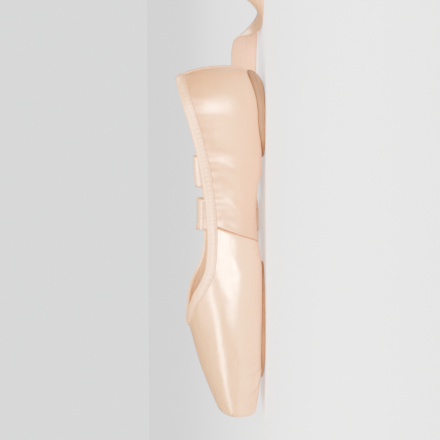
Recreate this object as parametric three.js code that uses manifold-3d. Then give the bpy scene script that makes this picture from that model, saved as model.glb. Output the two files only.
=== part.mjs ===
// A split-sole pointe shoe, standing empty on its two leather patches.
// Millimetres, +X to the toe, +Y to the side, +Z up. The shoe has a straight last, the same for either foot.
import * as THREE from 'three';
import { mergeVertices } from 'three/addons/utils/BufferGeometryUtils.js';
import Module from 'manifold-3d';

const wasm = await Module();
wasm.setup();

// Driving dimensions
const LENGTH = 238;            // back of the heel to the platform
const HEEL_PIVOT = 30;         // the heel is turned about an upright line this far from its back
const PATCH_THICKNESS = 2.2;   // outsole leather
const QUARTER_WALL = 1.5;      // stretch satin and lining, behind the seam
const BOX_WALL = 3.2;          // satin over pasted layers, in the box
const WALL_STARTS = 120;       // the wall thickens between these two stations
const WALL_ENDS = 180;
const PLATFORM_EDGE = 3.2;     // radius round the platform
const GAP = 0.3;               // between touching pieces
const BASE = PATCH_THICKNESS + GAP;
const BODY_RISE = 110;         // taller than anything on the shoe
const RIBBON_WIDTH = 22;
const RIBBON_THICKNESS = 0.9;
const FLOOR_GAP = 0.1;         // under a ribbon that lies on the floor

// Sections of the last, from the heel pivot forward. Heights are above the underside of the upper.
// half: half the widest width. level: height of the widest point. sole: lift of the bottom.
// flat: half width of the flat bottom. top: height of the closed top.
const LAST = [
  { at: 30, half: 29.0, level: 24.0, sole: 0.0, flat: 12.5, top: 72.0 },
  { at: 62, half: 28.0, level: 21.5, sole: 0.0, flat: 12.0, top: 76.0 },
  { at: 80, half: 27.8, level: 21.0, sole: 2.2, flat: 12.0, top: 75.0 },
  { at: 98, half: 28.8, level: 20.5, sole: 3.8, flat: 12.5, top: 71.5 },
  { at: 116, half: 31.6, level: 19.5, sole: 2.2, flat: 14.5, top: 66.0 },
  { at: 136, half: 35.8, level: 18.5, sole: 0.0, flat: 17.5, top: 60.0 },
  { at: 154, half: 39.0, level: 18.0, sole: 0.0, flat: 20.0, top: 54.5 },
  { at: 172, half: 40.2, level: 17.5, sole: 0.0, flat: 21.0, top: 50.0 },
  { at: 188, half: 38.8, level: 17.0, sole: 0.0, flat: 20.0, top: 46.0 },
  { at: 204, half: 35.2, level: 16.5, sole: 0.2, flat: 18.0, top: 41.4 },
  { at: 218, half: 30.8, level: 16.0, sole: 1.3, flat: 15.0, top: 36.4 },
  { at: 230, half: 26.8, level: 15.8, sole: 2.6, flat: 12.5, top: 31.4 },
  { at: 238, half: 24.0, level: 15.6, sole: 3.6, flat: 11.0, top: 27.8 },
];

// The collar's edge in side view, from behind the heel to the throat
const COLLAR = [
  { at: -12, height: 60.0 },
  { at: 8, height: 56.6 },
  { at: 24, height: 52.4 },
  { at: 44, height: 46.4 },
  { at: 68, height: 40.8 },
  { at: 92, height: 37.4 },
  { at: 114, height: 36.2 },
  { at: 130, height: 37.2 },
  { at: 140, height: 39.8 },
  { at: 147, height: 43.4 },
  { at: 153, height: 46.4 },
  { at: 162, height: 48.9 },
  { at: 172.6, height: 50.1 },
];

// Leather patches under the shoe: an egg for the forefoot, a tongue for the heel.
// taper: how much wider the toe end is. square: 1 is an ellipse, and more squares off the ends.
const FOREFOOT_PATCH = { centre: 174, halfLength: 41, halfWidth: 25, taper: 0.28, square: 1.0 };
const HEEL_PATCH = { centre: 32.5, halfLength: 29.5, halfWidth: 21.5, taper: -0.08, square: 1.1 };
const OPENING_INSET = 8;       // from a patch's edge to the hole that it covers

// The insole board: its ends, how far it passes the flat of the bottom, and how square its ends are
const INSOLE = { heel: 8, toe: 228, margin: 5, endPower: 14, thickness: 2 };

// Rounding of the sections: the exponents of their corners
const LOWER_CORNER = 2.2;
const UPPER_CORNER = 2.15;
const FLAT_STEPS = 2;
const LOWER_STEPS = 6;
const UPPER_STEPS = 12;
const HEEL_STEPS = 9;
const EDGE_STEPS = 3;
const BODY_STEPS = 26;

// Ribbon routes, in the shoe's final frame, from the stitched end inside the collar to the bare end.
// Each point is x, y, z and the bank: how far the ribbon's left edge is tipped up, in degrees.
const LEFT_RIBBON = [
  [-14, 26.9, 28, -8], [-14, 26.6, 22, -8], [-14, 25.5, 17.4, -7], [-14, 22.6, 13.7, -4],
  [-14, 18, 11.9, 0], [-14, 9, 11.4, 0], [-14, 0, 11.4, 0], [-14, -11, 11.4, 0],
  [-14, -19.2, 13, 0], [-14, -23.2, 19, 0], [-14, -24.2, 28, 0], [-14, -24, 37, 0],
  [-14, -25.4, 42.8, 0], [-14, -29.4, 44.8, 0], [-14, -33.2, 41, 0], [-14, -34.4, 32, 0],
  [-14, -35, 20, 0], [-14, -36.8, 9, 0], [-13, -41.8, 2.4, 0], [-8, -53, 0.8, 0],
  [3, -66, 3, 12], [18, -75, 7.6, 40], [36, -79, 9.6, 58], [55, -76, 8.4, 48],
  [74, -70, 3.4, 14], [93, -66, 3.4, -14], [111, -68, 9.6, -58], [124, -78, 10.9, -76],
  [129, -93, 11.1, -82], [123, -108, 10.9, -76], [108, -117, 9.6, -58], [90, -119, 5, -24],
  [70, -117, 0.6, 0], [50, -113, 0.6, 0], [29, -110, 0.6, 0], [8, -110, 0.6, 0],
];
const RIGHT_RIBBON = [
  [-44, -25.1, 26, 0], [-44, -24.6, 34, 0], [-44, -23.2, 41.4, -2], [-44, -26, 47, -4],
  [-44, -30.4, 43.6, -2], [-44, -31.2, 34, 0], [-44, -32.2, 21, 0], [-44, -34.2, 9.2, 0],
  [-45, -39, 2.4, 0], [-49, -50, 0.8, 0], [-58, -66, 3, -12], [-72, -79, 7.6, -40],
  [-90, -86, 9.6, -58], [-109, -85, 9.6, -58], [-126, -77, 9.6, -58], [-139, -63, 8.4, -48],
  [-147, -45, 3.4, -14], [-154, -26, 3.4, 14], [-164, -9, 9.6, 58], [-179, 2, 10.9, 76],
  [-195, 0, 11.1, 82], [-204, -13, 10.9, 76], [-203, -30, 9.6, 58], [-197, -47, 4.6, 24],
  [-191, -65, 0.6, 0], [-187, -84, 0.6, 0], [-185, -103, 0.6, 0], [-186, -125, 0.6, 0],
  [-190, -147, 0.6, 0],
];

// The value of a column between the rows of a table, on a smooth curve that never overshoots
function between(rows, at, column) {
  const last = rows.length - 1;
  const x = THREE.MathUtils.clamp(at, rows[0].at, rows[last].at);
  let i = 0;
  while (i < last - 1 && x > rows[i + 1].at) i += 1;
  const slope = (k) => (rows[k + 1][column] - rows[k][column]) / (rows[k + 1].at - rows[k].at);
  const tangent = (k) => {
    if (k === 0) return slope(0);
    if (k === last) return slope(last - 1);
    const before = slope(k - 1);
    const after = slope(k);
    return before * after <= 0 ? 0 : (2 * before * after) / (before + after);
  };
  const span = rows[i + 1].at - rows[i].at;
  const t = (x - rows[i].at) / span;
  const ease = t * t * (3 - 2 * t);
  const leave = span * tangent(i) * t * (1 - t) * (1 - t);
  const arrive = span * tangent(i + 1) * t * t * (1 - t);
  return rows[i][column] * (1 - ease) + rows[i + 1][column] * ease + leave - arrive;
}

// Half a section as pairs of outward reach and height, from the bottom centre to the top centre
function rib(at, half, grow) {
  const reach = half + grow;
  const level = BASE + between(LAST, at, 'level');
  const sole = BASE + between(LAST, at, 'sole') - grow;
  const flat = Math.min(between(LAST, at, 'flat'), reach - 2);
  const top = BASE + between(LAST, at, 'top') + grow;
  const points = [];
  for (let k = 0; k < FLAT_STEPS; k += 1) points.push([(flat * k) / FLAT_STEPS, sole]);
  for (let k = 0; k < LOWER_STEPS; k += 1) {
    const turn = (Math.PI / 2) * (k / LOWER_STEPS);
    const out = Math.sin(turn) ** (2 / LOWER_CORNER);
    const down = Math.cos(turn) ** (2 / LOWER_CORNER);
    points.push([flat + (reach - flat) * out, level - (level - sole) * down]);
  }
  for (let k = 0; k <= UPPER_STEPS; k += 1) {
    const turn = (Math.PI / 2) * (k / UPPER_STEPS);
    const out = k === UPPER_STEPS ? 0 : Math.cos(turn) ** (2 / UPPER_CORNER);
    const up = Math.sin(turn) ** (2 / UPPER_CORNER);
    points.push([reach * out, level + (top - level) * up]);
  }
  return points;
}

// A closed section from two ribs that leave the same upright line on directions turned fore and aft
function ring(points, x, turn) {
  const place = (side) => ([reach, z]) =>
    new THREE.Vector3(x - reach * Math.sin(turn), side * reach * Math.cos(turn), z);
  const left = points.map(place(1));
  const right = points.slice(1, -1).map(place(-1)).reverse();
  return [...left, ...right];
}

// The last, grown by a distance that may change along the shoe
function lastSolid(growAt) {
  const rings = [];
  const edge = PLATFORM_EDGE;
  const frontGrow = growAt(LENGTH);
  for (let k = EDGE_STEPS; k >= 0; k -= 1) {
    const turn = (Math.PI / 2) * (k / EDGE_STEPS);
    const x = LENGTH - edge + edge * Math.sin(turn);
    const inset = edge * (1 - Math.cos(turn));
    const points = rib(x, between(LAST, x, 'half'), frontGrow - inset);
    rings.push(ring(points, x + frontGrow, 0));
  }
  const bodyFront = LENGTH - edge;
  for (let k = 1; k <= BODY_STEPS; k += 1) {
    const x = THREE.MathUtils.lerp(bodyFront, HEEL_PIVOT, k / BODY_STEPS);
    const grow = growAt(x);
    const shift = grow * THREE.MathUtils.smoothstep(x, WALL_ENDS, bodyFront);
    rings.push(ring(rib(x, between(LAST, x, 'half'), grow), x + shift, 0));
  }
  const side = between(LAST, HEEL_PIVOT, 'half');
  for (let k = 1; k <= HEEL_STEPS; k += 1) {
    const turn = (Math.PI / 2) * (k / HEEL_STEPS);
    const reach = THREE.MathUtils.lerp(side, HEEL_PIVOT, Math.sin(turn) ** 2);
    rings.push(ring(rib(HEEL_PIVOT, reach, growAt(HEEL_PIVOT)), HEEL_PIVOT, turn));
  }
  return solid(loft(rings, true, false));
}

// Skins a row of rings with the same number of points, closing either end with a fan. The two halves
// of each ring are split along opposite diagonals, so the broad faces of a thin twisted strip run alike
function loft(rings, closeFirst, closeLast) {
  const count = rings[0].length;
  const position = rings.flat().flatMap((p) => [p.x, p.y, p.z]);
  const index = [];
  for (let i = 0; i < rings.length - 1; i += 1) {
    for (let j = 0; j < count; j += 1) {
      const a = i * count + j;
      const b = i * count + ((j + 1) % count);
      if (2 * j < count) index.push(a, a + count, b, b, a + count, b + count);
      else index.push(a, a + count, b + count, a, b + count, b);
    }
  }
  const cap = (i, flip) => {
    const centre = new THREE.Vector3();
    rings[i].forEach((p) => centre.addScaledVector(p, 1 / count));
    const middle = position.length / 3;
    position.push(centre.x, centre.y, centre.z);
    for (let j = 0; j < count; j += 1) {
      const a = i * count + j;
      const b = i * count + ((j + 1) % count);
      index.push(middle, flip ? b : a, flip ? a : b);
    }
  };
  if (closeFirst) cap(0, false);
  if (closeLast) cap(rings.length - 1, true);
  const geometry = new THREE.BufferGeometry();
  geometry.setAttribute('position', new THREE.Float32BufferAttribute(position, 3));
  geometry.setIndex(index);
  return geometry;
}

// A closed geometry as a solid for joins and cuts
function solid(geometry) {
  const bare = geometry.clone();
  bare.deleteAttribute('normal');
  bare.deleteAttribute('uv');
  const merged = mergeVertices(bare, 1e-3);
  const triangles = [];
  const corners = merged.index.array;
  for (let i = 0; i < corners.length; i += 3) {
    const [a, b, c] = corners.subarray(i, i + 3);
    if (a !== b && b !== c && c !== a) triangles.push(a, b, c);
  }
  return new wasm.Manifold(new wasm.Mesh({
    numProp: 3,
    vertProperties: new Float32Array(merged.attributes.position.array),
    triVerts: new Uint32Array(triangles),
  }));
}

// A solid as a named mesh with its own finish
function piece(name, body, finish) {
  const { vertProperties, triVerts } = body.getMesh();
  const geometry = new THREE.BufferGeometry();
  geometry.setAttribute('position', new THREE.BufferAttribute(new Float32Array(vertProperties), 3));
  geometry.setIndex(new THREE.BufferAttribute(new Uint32Array(triVerts), 1));
  geometry.computeVertexNormals();
  const mesh = new THREE.Mesh(geometry, new THREE.MeshStandardMaterial(finish));
  mesh.name = name;
  return mesh;
}

// An upright prism over an outline drawn in plan
function prism(outline, low, high) {
  const geometry = new THREE.ExtrudeGeometry(outline, { depth: high - low, bevelEnabled: false, steps: 1 });
  geometry.translate(0, 0, low);
  return solid(geometry);
}

// The plan of a leather patch, drawn in by an inset
function patchOutline(patch, inset) {
  const length = patch.halfLength - inset;
  const width = patch.halfWidth - inset;
  const widest = Math.sqrt(1 + (patch.taper * patch.taper) / 2);
  const points = [];
  const steps = 48;
  for (let k = 0; k < steps; k += 1) {
    const turn = (2 * Math.PI * k) / steps;
    const along = Math.cos(turn);
    const across = Math.sin(turn);
    const swell = (1 + patch.taper * along) / widest;
    points.push(new THREE.Vector2(
      patch.centre + length * Math.sign(along) * Math.abs(along) ** (1 / patch.square),
      width * swell * Math.sign(across) * Math.abs(across) ** (1 / patch.square),
    ));
  }
  return new THREE.Shape(points);
}

// The wall between the last and the inside of the shoe
function wall(x) {
  return THREE.MathUtils.lerp(QUARTER_WALL, BOX_WALL, THREE.MathUtils.smoothstep(x, WALL_STARTS, WALL_ENDS));
}

// Everything above the collar's edge, drawn in side view and pushed through the shoe
function aboveCollar() {
  const first = COLLAR[0].at;
  const throat = COLLAR[COLLAR.length - 1].at;
  const steps = 46;
  const outline = new THREE.Shape();
  outline.moveTo(first, BODY_RISE);
  for (let k = 0; k <= steps; k += 1) {
    const x = THREE.MathUtils.lerp(first, throat, k / steps);
    outline.lineTo(x, BASE + between(COLLAR, x, 'height'));
  }
  outline.lineTo(throat, BODY_RISE);
  outline.closePath();
  const geometry = new THREE.ExtrudeGeometry(outline, { depth: LENGTH, bevelEnabled: false, steps: 1 });
  geometry.rotateX(Math.PI / 2);
  geometry.translate(0, LENGTH / 2, 0);
  return solid(geometry);
}

// The upper: a hollow skin, open at the collar and under each patch
function upper() {
  const under = (shape) => {
    const top = BASE + between(LAST, shape.centre, 'level');
    return prism(patchOutline(shape, OPENING_INSET), -1, top);
  };
  return lastSolid(() => 0)
    .subtract(lastSolid((x) => -wall(x)))
    .subtract(aboveCollar())
    .subtract(under(FOREFOOT_PATCH))
    .subtract(under(HEEL_PATCH));
}

// A leather patch that follows the underside of the upper
function patch(shape) {
  return prism(patchOutline(shape, 0), -1, BASE + between(LAST, shape.centre, 'level'))
    .intersect(lastSolid(() => GAP + PATCH_THICKNESS))
    .subtract(lastSolid(() => GAP));
}

// The insole board, lying inside along the flat of the bottom
function insole() {
  const steps = 30;
  const edge = [];
  for (let k = 0; k <= steps; k += 1) {
    const along = (2 * k) / steps - 1;
    const x = THREE.MathUtils.lerp(INSOLE.heel, INSOLE.toe, k / steps);
    const half = between(LAST, x, 'flat') + INSOLE.margin;
    edge.push(new THREE.Vector2(x, half * Math.sqrt(1 - Math.abs(along) ** INSOLE.endPower)));
  }
  const mirrored = edge.slice(1, -1).map((p) => new THREE.Vector2(p.x, -p.y)).reverse();
  const outline = new THREE.Shape([...edge, ...mirrored]);
  return prism(outline, 0, BASE + LAST[0].level - INSOLE.thickness)
    .intersect(lastSolid((x) => -wall(x) - GAP))
    .subtract(lastSolid((x) => -wall(x) - GAP - INSOLE.thickness));
}

// A flat ribbon laid along its route, banked where it stands on one edge
function ribbon(route) {
  const curve = new THREE.CatmullRomCurve3(route.map(([x, y, z]) => new THREE.Vector3(x, y, z)));
  const steps = 78;
  const up = new THREE.Vector3(0, 0, 1);
  const rings = [];
  let before = null;
  for (let k = 0; k <= steps; k += 1) {
    const share = k / steps;
    const centre = curve.getPoint(share);
    const forward = curve.getTangent(share);
    const row = Math.min(Math.floor(share * (route.length - 1)), route.length - 2);
    const past = share * (route.length - 1) - row;
    const bank = THREE.MathUtils.degToRad(THREE.MathUtils.lerp(route[row][3], route[row + 1][3], past));
    const across = new THREE.Vector3().crossVectors(forward, up).normalize();
    if (before && across.dot(before) < 0) across.negate();
    before = across.clone();
    across.applyAxisAngle(forward, bank);
    const facing = new THREE.Vector3().crossVectors(across, forward).normalize();
    const corner = (w, t) => centre.clone()
      .addScaledVector(across, (w * RIBBON_WIDTH) / 2)
      .addScaledVector(facing, (t * RIBBON_THICKNESS) / 2);
    const section = [corner(-1, -1), corner(1, -1), corner(1, 1), corner(-1, 1)];
    const lowest = Math.min(...section.map((p) => p.z));
    section.forEach((p) => p.add(new THREE.Vector3(0, 0, Math.max(0, FLOOR_GAP - lowest))));
    rings.push(section);
  }
  return solid(loft(rings, true, true));
}

const SATIN = { color: 0xe6c9ad, roughness: 0.38, metalness: 0 };
const LEATHER = { color: 0xb88f70, roughness: 0.7, metalness: 0 };
const BOARD = { color: 0xd9c6ae, roughness: 0.8, metalness: 0 };

const shoe = new THREE.Group();
shoe.position.x = -LENGTH / 2;
shoe.add(piece('upper', upper(), SATIN));
shoe.add(piece('outsole_forefoot', patch(FOREFOOT_PATCH), LEATHER));
shoe.add(piece('outsole_heel', patch(HEEL_PATCH), LEATHER));
shoe.add(piece('insole', insole(), BOARD));

const ribbons = new THREE.Group();
ribbons.add(piece('ribbon_left', ribbon(LEFT_RIBBON), SATIN));
ribbons.add(piece('ribbon_right', ribbon(RIGHT_RIBBON), SATIN));

const pointeShoe = new THREE.Group();
pointeShoe.add(shoe, ribbons);

export default pointeShoe;
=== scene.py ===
# %% [markdown]
# # A pointe shoe in satin, stretch satin and leather
#
# A pointe shoe is a stiff satin box with a soft shoe sewn on behind it. This lesson dresses the plain
# construction model of one. Every piece is drawn from the same few tables of the last, so all of them fit.

# %% Load the frame
import bisect
import functools
from math import atan, atan2, copysign, cos, exp, hypot, pi, radians, sin, sqrt, tau

import bmesh
import bpy
from mathutils import Matrix, Vector, noise
from mathutils.bvhtree import BVHTree


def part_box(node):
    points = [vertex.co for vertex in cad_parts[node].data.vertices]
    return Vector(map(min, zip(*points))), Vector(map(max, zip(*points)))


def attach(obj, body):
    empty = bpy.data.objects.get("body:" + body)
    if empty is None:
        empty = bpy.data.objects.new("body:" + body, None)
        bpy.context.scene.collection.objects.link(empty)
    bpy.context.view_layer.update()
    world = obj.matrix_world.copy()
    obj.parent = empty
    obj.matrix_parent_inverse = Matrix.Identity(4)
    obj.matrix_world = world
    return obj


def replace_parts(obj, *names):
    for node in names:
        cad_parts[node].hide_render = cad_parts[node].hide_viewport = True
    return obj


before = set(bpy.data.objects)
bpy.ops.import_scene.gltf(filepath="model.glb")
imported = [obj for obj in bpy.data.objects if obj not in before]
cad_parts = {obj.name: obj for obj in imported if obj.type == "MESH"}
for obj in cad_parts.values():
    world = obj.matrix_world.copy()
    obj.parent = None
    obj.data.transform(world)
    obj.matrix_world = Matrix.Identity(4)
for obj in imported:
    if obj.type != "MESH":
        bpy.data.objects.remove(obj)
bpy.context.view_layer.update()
print("nodes:", sorted(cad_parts))

# %% [markdown]
# ## The shoe's own ruler
#
# Shoemakers work in millimetres from the back of the heel, so the tables below do too. The length is read
# from the construction model. `place` turns a shoe measure into a point of the scene, in metres.

# %% Sizes read from the frame
MM = 0.001
UP, DOWN, BACKWARDS = Vector((0, 0, 1)), Vector((0, 0, -1)), Vector((-1, 0, 0))
upper_low, upper_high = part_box("upper")
LENGTH = (upper_high[0] - upper_low[0]) / MM
BASE = upper_low[2] / MM
MIDDLE = LENGTH / 2


def place(point):
    """A point of the shoe, in millimetres from the back of the heel, as a point of the scene."""
    return Vector((point[0] - MIDDLE, point[1], point[2])) * MM


def lerp(start, end, share):
    return start + (end - start) * share


def smooth(low, high, value):
    """0 below low, 1 above high, and an even slope between."""
    share = min(max((value - low) / (high - low), 0.0), 1.0)
    return share * share * (3 - 2 * share)


def blend(start, end, leave, arrive, span, t):
    """From start to end as t goes from 0 to 1, leaving and arriving with the given slopes."""
    ease = t * t * (3 - 2 * t)
    bend = span * (leave * t * (1 - t) * (1 - t) - arrive * t * t * (1 - t))
    return start * (1 - ease) + end * ease + bend


def running_lengths(points):
    """The length along a line up to each of its points."""
    lengths = [0.0]
    for a, b in zip(points, points[1:]):
        lengths.append(lengths[-1] + (b - a).length)
    return lengths


print(f"the shoe is {LENGTH:.1f} mm long, and its upper starts {BASE:.1f} mm above the floor")

# %% [markdown]
# ## The camera
#
# The shoe was worn on the tips of the toes, with its side towards us. Here it stands flat, so the camera
# keeps its place beside the shoe, comes down to the floor, and rolls a quarter turn so that the toe points
# down the picture. A long lens keeps the shoe's shape.

# %% Make the camera
CAMERA_AZIMUTH = radians(189)
CAMERA_ELEVATION = radians(2.5)
CAMERA_DISTANCE = 1.6
VIEW_SPAN = 0.30
VIEW_CENTRE = Vector((-0.014, 0.0, 0.030))

back = Vector((
    sin(CAMERA_AZIMUTH) * cos(CAMERA_ELEVATION),
    -cos(CAMERA_AZIMUTH) * cos(CAMERA_ELEVATION),
    sin(CAMERA_ELEVATION),
))
picture_up = (BACKWARDS - back * BACKWARDS.dot(back)).normalized()
picture_right = picture_up.cross(back)

camera_data = bpy.data.cameras.new("camera")
camera_data.angle = 2 * atan(VIEW_SPAN / 2 / CAMERA_DISTANCE)
camera_data.clip_start = 0.05
camera = bpy.data.objects.new("camera", camera_data)
bpy.context.collection.objects.link(camera)
camera.matrix_world = Matrix.Translation(VIEW_CENTRE + back * CAMERA_DISTANCE) @ Matrix(
    (picture_right, picture_up, back)
).transposed().to_4x4()
bpy.context.scene.camera = camera
print("camera height above the floor:", round(camera.location.z, 3), "m")

# %% [markdown]
# ## Meshes from a grid
#
# Cloth panels start as Blender's own flat grid. Each point is then moved to its place on the shoe, and
# stores a shade from 0 to 1, where seams and folds look deeper. `finish` turns the bmesh into an object.


# %% Helpers for grids and objects
def grid(along, across, where, size=(1.0, 1.0), close=0.0):
    """A grid whose points go to where(u, v), with u and v from 0 to 1. close merges points that meet."""
    bm = bmesh.new()
    uv = bm.loops.layers.uv.new("UVMap")
    shade = bm.verts.layers.float.new("shade")
    bmesh.ops.create_grid(bm, x_segments=along, y_segments=across, size=0.5)
    for face in bm.faces:
        for loop in face.loops:
            loop[uv].uv = ((loop.vert.co.x + 0.5) * size[0], (loop.vert.co.y + 0.5) * size[1])
    for vert in bm.verts:
        vert.co, vert[shade] = where(vert.co.x + 0.5, vert.co.y + 0.5)
    if close:
        bmesh.ops.remove_doubles(bm, verts=bm.verts, dist=close)
    return bm


def finish(bm, name, material, outward=(0, 0, 1), inside=False, cloth=0, offset=-1):
    """The bmesh as an object on the shoe. Its farthest face outward is made to look that way, or inside.

    cloth is its thickness in millimetres, and offset -1 puts that inwards of the surface.
    """
    outward = Vector(outward)
    bm.normal_update()
    farthest = max(bm.faces, key=lambda face: face.calc_center_median().dot(outward))
    if (farthest.normal.dot(outward) < 0) != inside:
        bmesh.ops.reverse_faces(bm, faces=bm.faces)
    for face in bm.faces:
        face.smooth = True
    mesh = bpy.data.meshes.new(name)
    bm.to_mesh(mesh)
    bm.free()
    piece = bpy.data.objects.new(name, mesh)
    bpy.context.collection.objects.link(piece)
    mesh.materials.append(material)
    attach(piece, "root")
    if cloth:
        layer = piece.modifiers.new("thickness", "SOLIDIFY")
        layer.thickness = cloth * MM
        layer.offset = offset
    print(f"{name}: {len(mesh.polygons)} faces")
    return piece


# %% [markdown]
# ## Node groups that several finishes share
#
# A finish is a small network of nodes. What several need is a group, built once: satin threads, leather
# grain, and the painted shade in folds. `add` makes a node and connects its inputs.


# %% Helpers for nodes
def connect(tree, sockets, values):
    """Links each value that is a node or a socket, and sets any other on its socket."""
    for name, value in values.items():
        if isinstance(value, bpy.types.Node):
            value = value.outputs[0]
        if isinstance(value, bpy.types.NodeSocket):
            tree.links.new(value, sockets[name])
        else:
            sockets[name].default_value = value


def add(tree, kind, inputs=None, **settings):
    node = tree.nodes.new("ShaderNode" + kind)
    for name, value in settings.items():
        setattr(node, name, value)
    connect(tree, node.inputs, inputs or {})
    return node


def group(name, inputs, outputs):
    """A shader node group. Its inputs and outputs are names, each with its kind of socket."""
    tree = bpy.data.node_groups.new(name, "ShaderNodeTree")
    for way, sockets in (("INPUT", inputs), ("OUTPUT", outputs)):
        for label, kind in sockets.items():
            tree.interface.new_socket(name=label, in_out=way, socket_type=kind)
    return tree, tree.nodes.new("NodeGroupInput").outputs, tree.nodes.new("NodeGroupOutput").inputs


def linear(colour):
    """A colour given as it looks on a screen, from 0 to 255, in the renderer's linear values."""
    return tuple((channel / 255) ** 2.2 for channel in colour) + (1.0,)


VECTOR, NUMBER, COLOUR = "NodeSocketVector", "NodeSocketFloat", "NodeSocketColor"
PATTERN = {"Height": NUMBER, "Tone": NUMBER, "Gloss": NUMBER}

# %% The thread group
SLOW_THREADS = (0.22, 0.16, 0.16)
CLOUDS_PER_METRE = 38.0
sizes = {"Vector": VECTOR, "Per metre": NUMBER}
thread_tree, given, made = group("threads", {**sizes, "Length": NUMBER}, PATTERN)
rate = given["Per metre"]
spread = add(thread_tree, "Math", {0: rate, 1: given["Length"]}, operation="DIVIDE")
stretch = add(thread_tree, "CombineXYZ", {0: spread, 1: rate, 2: rate})
fine = add(thread_tree, "VectorMath", {0: given["Vector"], 1: stretch}, operation="MULTIPLY")
slow = add(thread_tree, "VectorMath", {0: fine, 1: SLOW_THREADS}, operation="MULTIPLY")
threads = add(thread_tree, "TexNoise", {"Vector": fine, "Scale": 1.0, "Detail": 2.0})
streaks = add(thread_tree, "TexNoise", {"Vector": slow, "Scale": 1.0, "Detail": 3.0})
clouds = add(thread_tree, "TexNoise", {"Vector": given["Vector"], "Scale": CLOUDS_PER_METRE, "Detail": 3.0})
tone = add(thread_tree, "Math", {0: streaks, 1: clouds}, operation="ADD")
connect(thread_tree, made, {"Height": threads, "Tone": tone, "Gloss": streaks})

# %% The leather grain group
BLOTCHES_PER_METRE = 90.0
grain_tree, given, made = group("leather grain", sizes, PATTERN)
spot, rate = given["Vector"], given["Per metre"]
pores = add(grain_tree, "TexVoronoi", {"Vector": spot, "Scale": rate})
nap = add(grain_tree, "TexNoise", {"Vector": spot, "Scale": rate, "Detail": 5.0})
blotch = add(grain_tree, "TexNoise", {"Vector": spot, "Scale": BLOTCHES_PER_METRE, "Detail": 4.0})
relief = add(grain_tree, "Math", {0: pores, 1: nap}, operation="MULTIPLY")
connect(grain_tree, made, {"Height": relief, "Tone": blotch, "Gloss": blotch})

# %% The painted fold shade group
fold_tree, given, made = group("painted fold shade", {"Colour": COLOUR, "Shaded colour": COLOUR}, {"Colour": COLOUR})
# The stored shade is painted shade: it mixes the colour towards the shaded colour.
stored = add(fold_tree, "Attribute", attribute_name="shade").outputs["Fac"]
fold_shaded = add(fold_tree, "Mix", {0: stored, 6: given["Colour"], 7: given["Shaded colour"]}, data_type="RGBA")
connect(fold_tree, made, {"Colour": fold_shaded.outputs[2]})
print("groups:", [tree.name for tree in bpy.data.node_groups])

# %% [markdown]
# ## The finishes
#
# All finishes are one recipe with other values: two tones mixed by the pattern's slow streaks and clouds, a
# painted shade in folds, gloss that varies with the pattern, and fine relief. What is the same all over is
# set on the shader itself.

# %% The recipe
BUMP_DEPTH = 0.0004


def woven(threads, length):
    """Threads to the metre, and how many times longer than wide one shows."""
    return thread_tree, {"Per metre": threads, "Length": length}, (0.78, 1.22)


def tanned(pores):
    return grain_tree, {"Per metre": pores}, (0.36, 0.64)


def dress(
    name, pattern, relief, gloss, light, dark, fold_shade,
    specular=0.5, metal=0.0, brushed=0.0, coordinates="Object",
):
    """A finish. gloss is its lowest and highest roughness, and the third colour is the painted shade in
    folds.
    """
    material = bpy.data.materials.new(name)
    material.use_nodes = True
    tree = material.node_tree
    pattern_tree, sizes, tones = pattern
    spot = add(tree, "TexCoord").outputs[coordinates]
    made = add(tree, "Group", {"Vector": spot, **sizes}, node_tree=pattern_tree).outputs
    tone = add(tree, "MapRange", {0: made["Tone"], 1: tones[0], 2: tones[1]})
    colour = add(tree, "Mix", {0: tone, 6: linear(dark), 7: linear(light)}, data_type="RGBA").outputs[2]
    folded = add(tree, "Group", {"Colour": colour, "Shaded colour": linear(fold_shade)}, node_tree=fold_tree)
    shine = add(tree, "MapRange", {0: made["Gloss"], 1: 0.3, 2: 0.7, 3: gloss[0], 4: gloss[1]})
    bump = add(tree, "Bump", {"Strength": relief, "Distance": BUMP_DEPTH, "Height": made["Height"]})
    shader = tree.nodes["Principled BSDF"]
    connect(tree, shader.inputs, {"Base Color": folded, "Roughness": shine, "Normal": bump})
    shader.inputs["Metallic"].default_value = metal
    shader.inputs["Specular IOR Level"].default_value = specular
    shader.inputs["Anisotropic"].default_value = brushed
    return material


# %% The cloths, threads and leathers
satin = dress(
    "shoe satin", woven(1500, 30), 0.10, (0.24, 0.33), (235, 171, 105), (230, 165, 99), (154, 92, 50),
    specular=1.0, metal=0.35, brushed=0.5,
)
stretch_satin = dress(
    "stretch satin", woven(1100, 10), 0.12, (0.30, 0.38), (226, 159, 90), (220, 151, 84), (148, 86, 44),
    specular=0.9, metal=0.3, brushed=0.3,
)
binding_satin = dress(
    "binding satin", woven(1600, 6), 0.12, (0.36, 0.46), (234, 174, 114), (226, 162, 103), (160, 94, 54),
    specular=0.6, metal=0.15,
)
ribbon_satin = dress(
    "ribbon satin", woven(2600, 40), 0.10, (0.25, 0.34), (231, 169, 108), (223, 157, 98), (172, 110, 64),
    specular=1.0, metal=0.3, brushed=0.5, coordinates="UV",
)
lining_cloth = dress(
    "lining cloth", woven(900, 2), 0.25, (0.75, 0.85), (214, 184, 150), (208, 177, 142), (146, 110, 78)
)
insole_cloth = dress(
    "insole cloth", woven(1200, 2), 0.3, (0.7, 0.82), (206, 170, 130), (192, 154, 114), (132, 94, 62)
)
thread_cotton = dress(
    "thread cotton", woven(6000, 3), 0.2, (0.5, 0.6), (234, 180, 126), (220, 160, 108), (168, 108, 68)
)
sole_thread = dress(
    "sole thread", woven(6000, 3), 0.2, (0.5, 0.6), (134, 90, 56), (118, 78, 48), (86, 56, 34)
)
forefoot_leather = dress(
    "forefoot leather", tanned(1800), 0.4, (0.62, 0.78), (170, 119, 72), (153, 105, 60), (112, 72, 42)
)
heel_leather = dress(
    "heel leather", tanned(2400), 0.3, (0.62, 0.78), (156, 107, 60), (140, 94, 50), (86, 54, 30)
)
print("finishes:", [material.name for material in bpy.data.materials])
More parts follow.
